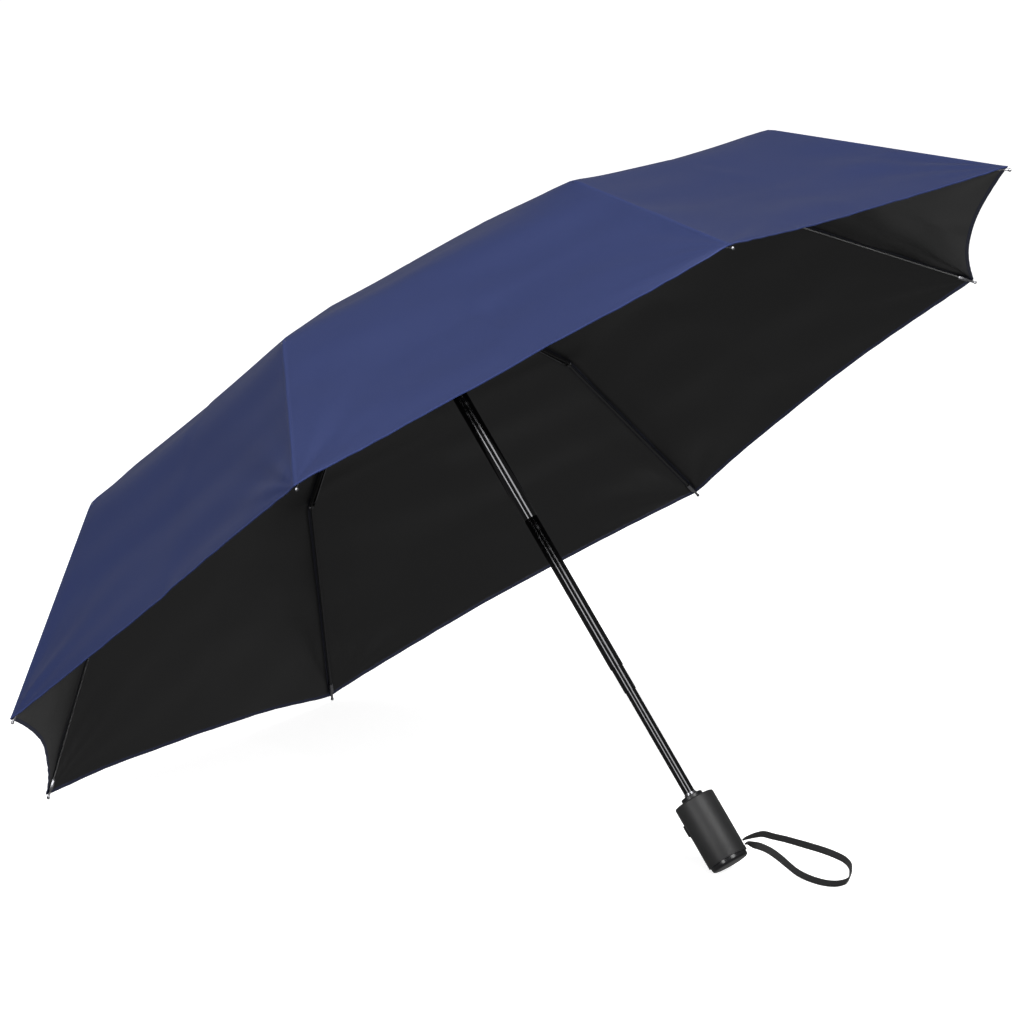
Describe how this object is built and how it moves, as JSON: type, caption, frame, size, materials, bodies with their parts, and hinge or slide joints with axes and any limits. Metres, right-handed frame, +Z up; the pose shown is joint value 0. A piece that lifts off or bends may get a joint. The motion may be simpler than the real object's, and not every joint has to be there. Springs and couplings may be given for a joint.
{
  "type": "folding umbrella",
  "caption": "Open folding umbrella lying on its rim and handle: domed cloth canopy on hinged ribs, telescoping shaft, runner, and cylindrical grip with a push button and wrist loop.",
  "frame": {"origin": "on the floor, under the centre of the umbrella box without its wrist strap", "axes": "+Z up; the umbrella lies on two rib tips on the +X side and the bottom edge of its handle on the -X side; +Y runs along the wide side of the canopy"},
  "size_m": [0.7086, 0.9078, 0.5871],
  "materials": {
    "navy_cloth": "satin woven polyester, black on the inside",
    "black_steel": "gloss black",
    "bright_steel": "bright",
    "black_enamel": "high gloss black",
    "black_plastic": "satin black",
    "handle_rubber": "matte, fine grained",
    "black_webbing": "woven tape"
  },
  "bodies": {
    "handle": {"handle_shell": "handle_rubber", "handle_end_cap": "black_plastic", "handle_collar": "black_plastic", "handle_core": "black_plastic", "button_spring": "bright_steel", "release_latch": "bright_steel", "strap_pin": "bright_steel", "wrist_strap": "black_webbing", "lower_tube": "black_enamel"},
    "button": {"push_button": "black_plastic"},
    "third_stage": {"third_tube": "black_enamel"},
    "second_stage": {"second_tube": "black_enamel"},
    "top_stage": {"top_tube": "black_enamel", "shaft_spring": "bright_steel", "crown_hub": "black_plastic", "crown_wire": "bright_steel", "crown_stud": "bright_steel", "top_cap": "black_plastic", "canopy": "navy_cloth"},
    "runner_sleeve": {"runner": "black_plastic"},
    "top_rib_1_body": {"top_rib_1": "black_steel"},
    "mid_rib_1_body": {"mid_rib_1": "black_steel"},
    "tail_rib_1_body": {"tail_rib_1": "black_steel", "rib_tip_1": "bright_steel"},
    "stretcher_1_body": {"stretcher_1": "black_steel"},
    "top_rib_2_body": {"top_rib_2": "black_steel"},
    "mid_rib_2_body": {"mid_rib_2": "black_steel"},
    "tail_rib_2_body": {"tail_rib_2": "black_steel", "rib_tip_2": "bright_steel"},
    "stretcher_2_body": {"stretcher_2": "black_steel"},
    "top_rib_3_body": {"top_rib_3": "black_steel"},
    "mid_rib_3_body": {"mid_rib_3": "black_steel"},
    "tail_rib_3_body": {"tail_rib_3": "black_steel", "rib_tip_3": "bright_steel"},
    "stretcher_3_body": {"stretcher_3": "black_steel"},
    "top_rib_4_body": {"top_rib_4": "black_steel"},
    "mid_rib_4_body": {"mid_rib_4": "black_steel"},
    "tail_rib_4_body": {"tail_rib_4": "black_steel", "rib_tip_4": "bright_steel"},
    "stretcher_4_body": {"stretcher_4": "black_steel"},
    "top_rib_5_body": {"top_rib_5": "black_steel"},
    "mid_rib_5_body": {"mid_rib_5": "black_steel"},
    "tail_rib_5_body": {"tail_rib_5": "black_steel", "rib_tip_5": "bright_steel"},
    "stretcher_5_body": {"stretcher_5": "black_steel"},
    "top_rib_6_body": {"top_rib_6": "black_steel"},
    "mid_rib_6_body": {"mid_rib_6": "black_steel"},
    "tail_rib_6_body": {"tail_rib_6": "black_steel", "rib_tip_6": "bright_steel"},
    "stretcher_6_body": {"stretcher_6": "black_steel"},
    "top_rib_7_body": {"top_rib_7": "black_steel"},
    "mid_rib_7_body": {"mid_rib_7": "black_steel"},
    "tail_rib_7_body": {"tail_rib_7": "black_steel", "rib_tip_7": "bright_steel"},
    "stretcher_7_body": {"stretcher_7": "black_steel"},
    "top_rib_8_body": {"top_rib_8": "black_steel"},
    "mid_rib_8_body": {"mid_rib_8": "black_steel"},
    "tail_rib_8_body": {"tail_rib_8": "black_steel", "rib_tip_8": "bright_steel"},
    "stretcher_8_body": {"stretcher_8": "black_steel"}
  },
  "joints": [
    {"name": "shaft_upper_slide", "type": "slide", "parent": "second_stage", "child": "top_stage", "axis": [-0.6258, 0, -0.78], "range_m": [0, 0.1405], "deforming": ["shaft_spring"]},
    {"name": "shaft_middle_slide", "type": "slide", "parent": "third_stage", "child": "second_stage", "axis": [-0.6258, 0, -0.78], "range_m": [0, 0.02101]},
    {"name": "shaft_lower_slide", "type": "slide", "parent": "handle", "child": "third_stage", "axis": [-0.6258, 0, -0.78], "range_m": [0, 0.09751]},
    {"name": "button_press", "type": "slide", "parent": "handle", "child": "button", "axis": [-0.5975, -0.6428, 0.4794], "range_m": [0, 0.002], "stiffness_N_per_m": 600, "springref_m": -0.0015, "deforming": ["button_spring"]},
    {"name": "runner_slide", "type": "slide", "parent": "top_stage", "child": "runner_sleeve", "axis": [-0.6258, 0, -0.78], "range_m": [0, 0.11814]},
    {"name": "canopy_fold", "type": "hinge", "parent": "top_stage", "child": "top_rib_1_body", "pos_m": [0.13092, 0.00402, 0.43226], "axis": [-0.2985, 0.9239, 0.2395], "range_deg": [0, 78.8], "deforming": ["canopy"]},
    {"name": "mid_hinge_1", "type": "hinge", "parent": "top_rib_1_body", "child": "mid_rib_1_body", "pos_m": [0.23729, 0.06893, 0.31441], "axis": [-0.2985, 0.9239, 0.2395], "range_deg": [-180.01, 0]},
    {"name": "tail_hinge_1", "type": "hinge", "parent": "mid_rib_1_body", "child": "tail_rib_1_body", "pos_m": [0.32581, 0.12876, 0.19394], "axis": [-0.2985, 0.9239, 0.2395], "range_deg": [0, 149.21]},
    {"name": "stretcher_hinge_1", "type": "hinge", "parent": "top_rib_1_body", "child": "stretcher_1_body", "pos_m": [0.18244, 0.03609, 0.37274], "axis": [-0.2985, 0.9239, 0.2395], "range_deg": [-136.26, 0]},
    {"name": "crown_hinge_2", "type": "hinge", "parent": "top_stage", "child": "top_rib_2_body", "pos_m": [0.12648, 0.0097, 0.43581], "axis": [-0.7206, 0.3827, 0.5781], "range_deg": [0, 78.81]},
    {"name": "mid_hinge_2", "type": "hinge", "parent": "top_rib_2_body", "child": "mid_rib_2_body", "pos_m": [0.16126, 0.16642, 0.37542], "axis": [-0.7206, 0.3827, 0.5781], "range_deg": [-180.01, 0]},
    {"name": "tail_hinge_2", "type": "hinge", "parent": "mid_rib_2_body", "child": "tail_rib_2_body", "pos_m": [0.18378, 0.31085, 0.30789], "axis": [-0.7206, 0.3827, 0.5781], "range_deg": [0, 149.21]},
    {"name": "stretcher_hinge_2", "type": "hinge", "parent": "top_rib_2_body", "child": "stretcher_2_body", "pos_m": [0.14263, 0.08713, 0.40468], "axis": [-0.7206, 0.3827, 0.5781], "range_deg": [-136.26, 0]},
    {"name": "crown_hinge_3", "type": "hinge", "parent": "top_stage", "child": "top_rib_3_body", "pos_m": [0.12022, 0.0097, 0.44084], "axis": [-0.7206, -0.3827, 0.5781], "range_deg": [0, 78.81]},
    {"name": "mid_hinge_3", "type": "hinge", "parent": "top_rib_3_body", "child": "mid_rib_3_body", "pos_m": [0.05372, 0.16642, 0.46169], "axis": [-0.7206, -0.3827, 0.5781], "range_deg": [-180.01, 0]},
    {"name": "tail_hinge_3", "type": "hinge", "parent": "mid_rib_3_body", "child": "tail_rib_3_body", "pos_m": [-0.01708, 0.31085, 0.46904], "axis": [-0.7206, -0.3827, 0.5781], "range_deg": [0, 149.21]},
    {"name": "stretcher_hinge_3", "type": "hinge", "parent": "top_rib_3_body", "child": "stretcher_3_body", "pos_m": [0.08632, 0.08713, 0.44985], "axis": [-0.7206, -0.3827, 0.5781], "range_deg": [-136.26, 0]},
    {"name": "crown_hinge_4", "type": "hinge", "parent": "top_stage", "child": "top_rib_4_body", "pos_m": [0.11578, 0.00402, 0.4444], "axis": [-0.2985, -0.9239, 0.2395], "range_deg": [0, 78.81]},
    {"name": "mid_hinge_4", "type": "hinge", "parent": "top_rib_4_body", "child": "mid_rib_4_body", "pos_m": [-0.02232, 0.06893, 0.5227], "axis": [-0.2985, -0.9239, 0.2395], "range_deg": [-180.01, 0]},
    {"name": "tail_hinge_4", "type": "hinge", "parent": "mid_rib_4_body", "child": "tail_rib_4_body", "pos_m": [-0.15912, 0.12876, 0.58299], "axis": [-0.2985, -0.9239, 0.2395], "range_deg": [0, 149.21]},
    {"name": "stretcher_hinge_4", "type": "hinge", "parent": "top_rib_4_body", "child": "stretcher_4_body", "pos_m": [0.04651, 0.03609, 0.48179], "axis": [-0.2985, -0.9239, 0.2395], "range_deg": [-136.26, 0]},
    {"name": "crown_hinge_5", "type": "hinge", "parent": "top_stage", "child": "top_rib_5_body", "pos_m": [0.11578, -0.00402, 0.4444], "axis": [0.2985, -0.9239, -0.2395], "range_deg": [0, 78.81]},
    {"name": "mid_hinge_5", "type": "hinge", "parent": "top_rib_5_body", "child": "mid_rib_5_body", "pos_m": [-0.02232, -0.06893, 0.5227], "axis": [0.2985, -0.9239, -0.2395], "range_deg": [-180.01, 0]},
    {"name": "tail_hinge_5", "type": "hinge", "parent": "mid_rib_5_body", "child": "tail_rib_5_body", "pos_m": [-0.15912, -0.12876, 0.58299], "axis": [0.2985, -0.9239, -0.2395], "range_deg": [0, 149.21]},
    {"name": "stretcher_hinge_5", "type": "hinge", "parent": "top_rib_5_body", "child": "stretcher_5_body", "pos_m": [0.04651, -0.03609, 0.48179], "axis": [0.2985, -0.9239, -0.2395], "range_deg": [-136.26, 0]},
    {"name": "crown_hinge_6", "type": "hinge", "parent": "top_stage", "child": "top_rib_6_body", "pos_m": [0.12022, -0.0097, 0.44084], "axis": [0.7206, -0.3827, -0.5781], "range_deg": [0, 78.81]},
    {"name": "mid_hinge_6", "type": "hinge", "parent": "top_rib_6_body", "child": "mid_rib_6_body", "pos_m": [0.05372, -0.16642, 0.46169], "axis": [0.7206, -0.3827, -0.5781], "range_deg": [-180.01, 0]},
    {"name": "tail_hinge_6", "type": "hinge", "parent": "mid_rib_6_body", "child": "tail_rib_6_body", "pos_m": [-0.01708, -0.31085, 0.46904], "axis": [0.7206, -0.3827, -0.5781], "range_deg": [0, 149.21]},
    {"name": "stretcher_hinge_6", "type": "hinge", "parent": "top_rib_6_body", "child": "stretcher_6_body", "pos_m": [0.08632, -0.08713, 0.44985], "axis": [0.7206, -0.3827, -0.5781], "range_deg": [-136.26, 0]},
    {"name": "crown_hinge_7", "type": "hinge", "parent": "top_stage", "child": "top_rib_7_body", "pos_m": [0.12648, -0.0097, 0.43581], "axis": [0.7206, 0.3827, -0.5781], "range_deg": [0, 78.81]},
    {"name": "mid_hinge_7", "type": "hinge", "parent": "top_rib_7_body", "child": "mid_rib_7_body", "pos_m": [0.16126, -0.16642, 0.37542], "axis": [0.7206, 0.3827, -0.5781], "range_deg": [-180.01, 0]},
    {"name": "tail_hinge_7", "type": "hinge", "parent": "mid_rib_7_body", "child": "tail_rib_7_body", "pos_m": [0.18378, -0.31085, 0.30789], "axis": [0.7206, 0.3827, -0.5781], "range_deg": [0, 149.21]},
    {"name": "stretcher_hinge_7", "type": "hinge", "parent": "top_rib_7_body", "child": "stretcher_7_body", "pos_m": [0.14263, -0.08713, 0.40468], "axis": [0.7206, 0.3827, -0.5781], "range_deg": [-136.26, 0]},
    {"name": "crown_hinge_8", "type": "hinge", "parent": "top_stage", "child": "top_rib_8_body", "pos_m": [0.13092, -0.00402, 0.43226], "axis": [0.2985, 0.9239, -0.2395], "range_deg": [0, 78.81]},
    {"name": "mid_hinge_8", "type": "hinge", "parent": "top_rib_8_body", "child": "mid_rib_8_body", "pos_m": [0.23729, -0.06893, 0.31441], "axis": [0.2985, 0.9239, -0.2395], "range_deg": [-180.01, 0]},
    {"name": "tail_hinge_8", "type": "hinge", "parent": "mid_rib_8_body", "child": "tail_rib_8_body", "pos_m": [0.32581, -0.12876, 0.19394], "axis": [0.2985, 0.9239, -0.2395], "range_deg": [0, 149.21]},
    {"name": "stretcher_hinge_8", "type": "hinge", "parent": "top_rib_8_body", "child": "stretcher_8_body", "pos_m": [0.18244, -0.03609, 0.37274], "axis": [0.2985, 0.9239, -0.2395], "range_deg": [-136.26, 0]}
  ],
  "couplings": [
    {"joint": "mid_hinge_1", "follows": "canopy_fold", "ratio": -2.2843},
    {"joint": "tail_hinge_1", "follows": "canopy_fold", "ratio": 1.8934},
    {"joint": "stretcher_hinge_1", "follows": "canopy_fold", "ratio": -1.7291},
    {"joint": "crown_hinge_2", "follows": "canopy_fold", "ratio": 1},
    {"joint": "mid_hinge_2", "follows": "canopy_fold", "ratio": -2.2843},
    {"joint": "tail_hinge_2", "follows": "canopy_fold", "ratio": 1.8934},
    {"joint": "stretcher_hinge_2", "follows": "canopy_fold", "ratio": -1.7291},
    {"joint": "crown_hinge_3", "follows": "canopy_fold", "ratio": 1},
    {"joint": "mid_hinge_3", "follows": "canopy_fold", "ratio": -2.2843},
    {"joint": "tail_hinge_3", "follows": "canopy_fold", "ratio": 1.8934},
    {"joint": "stretcher_hinge_3", "follows": "canopy_fold", "ratio": -1.7291},
    {"joint": "crown_hinge_4", "follows": "canopy_fold", "ratio": 1},
    {"joint": "mid_hinge_4", "follows": "canopy_fold", "ratio": -2.2843},
    {"joint": "tail_hinge_4", "follows": "canopy_fold", "ratio": 1.8934},
    {"joint": "stretcher_hinge_4", "follows": "canopy_fold", "ratio": -1.7291},
    {"joint": "crown_hinge_5", "follows": "canopy_fold", "ratio": 1},
    {"joint": "mid_hinge_5", "follows": "canopy_fold", "ratio": -2.2843},
    {"joint": "tail_hinge_5", "follows": "canopy_fold", "ratio": 1.8934},
    {"joint": "stretcher_hinge_5", "follows": "canopy_fold", "ratio": -1.7291},
    {"joint": "crown_hinge_6", "follows": "canopy_fold", "ratio": 1},
    {"joint": "mid_hinge_6", "follows": "canopy_fold", "ratio": -2.2843},
    {"joint": "tail_hinge_6", "follows": "canopy_fold", "ratio": 1.8934},
    {"joint": "stretcher_hinge_6", "follows": "canopy_fold", "ratio": -1.7291},
    {"joint": "crown_hinge_7", "follows": "canopy_fold", "ratio": 1},
    {"joint": "mid_hinge_7", "follows": "canopy_fold", "ratio": -2.2843},
    {"joint": "tail_hinge_7", "follows": "canopy_fold", "ratio": 1.8934},
    {"joint": "stretcher_hinge_7", "follows": "canopy_fold", "ratio": -1.7291},
    {"joint": "crown_hinge_8", "follows": "canopy_fold", "ratio": 1},
    {"joint": "mid_hinge_8", "follows": "canopy_fold", "ratio": -2.2843},
    {"joint": "tail_hinge_8", "follows": "canopy_fold", "ratio": 1.8934},
    {"joint": "stretcher_hinge_8", "follows": "canopy_fold", "ratio": -1.7291},
    {"joint": "runner_slide", "follows": "canopy_fold", "m_per_rad": 0.085893},
    {"joint": "shaft_middle_slide", "follows": "shaft_upper_slide", "ratio": 0.14947},
    {"joint": "shaft_lower_slide", "follows": "shaft_upper_slide", "ratio": 0.69395}
  ]
}
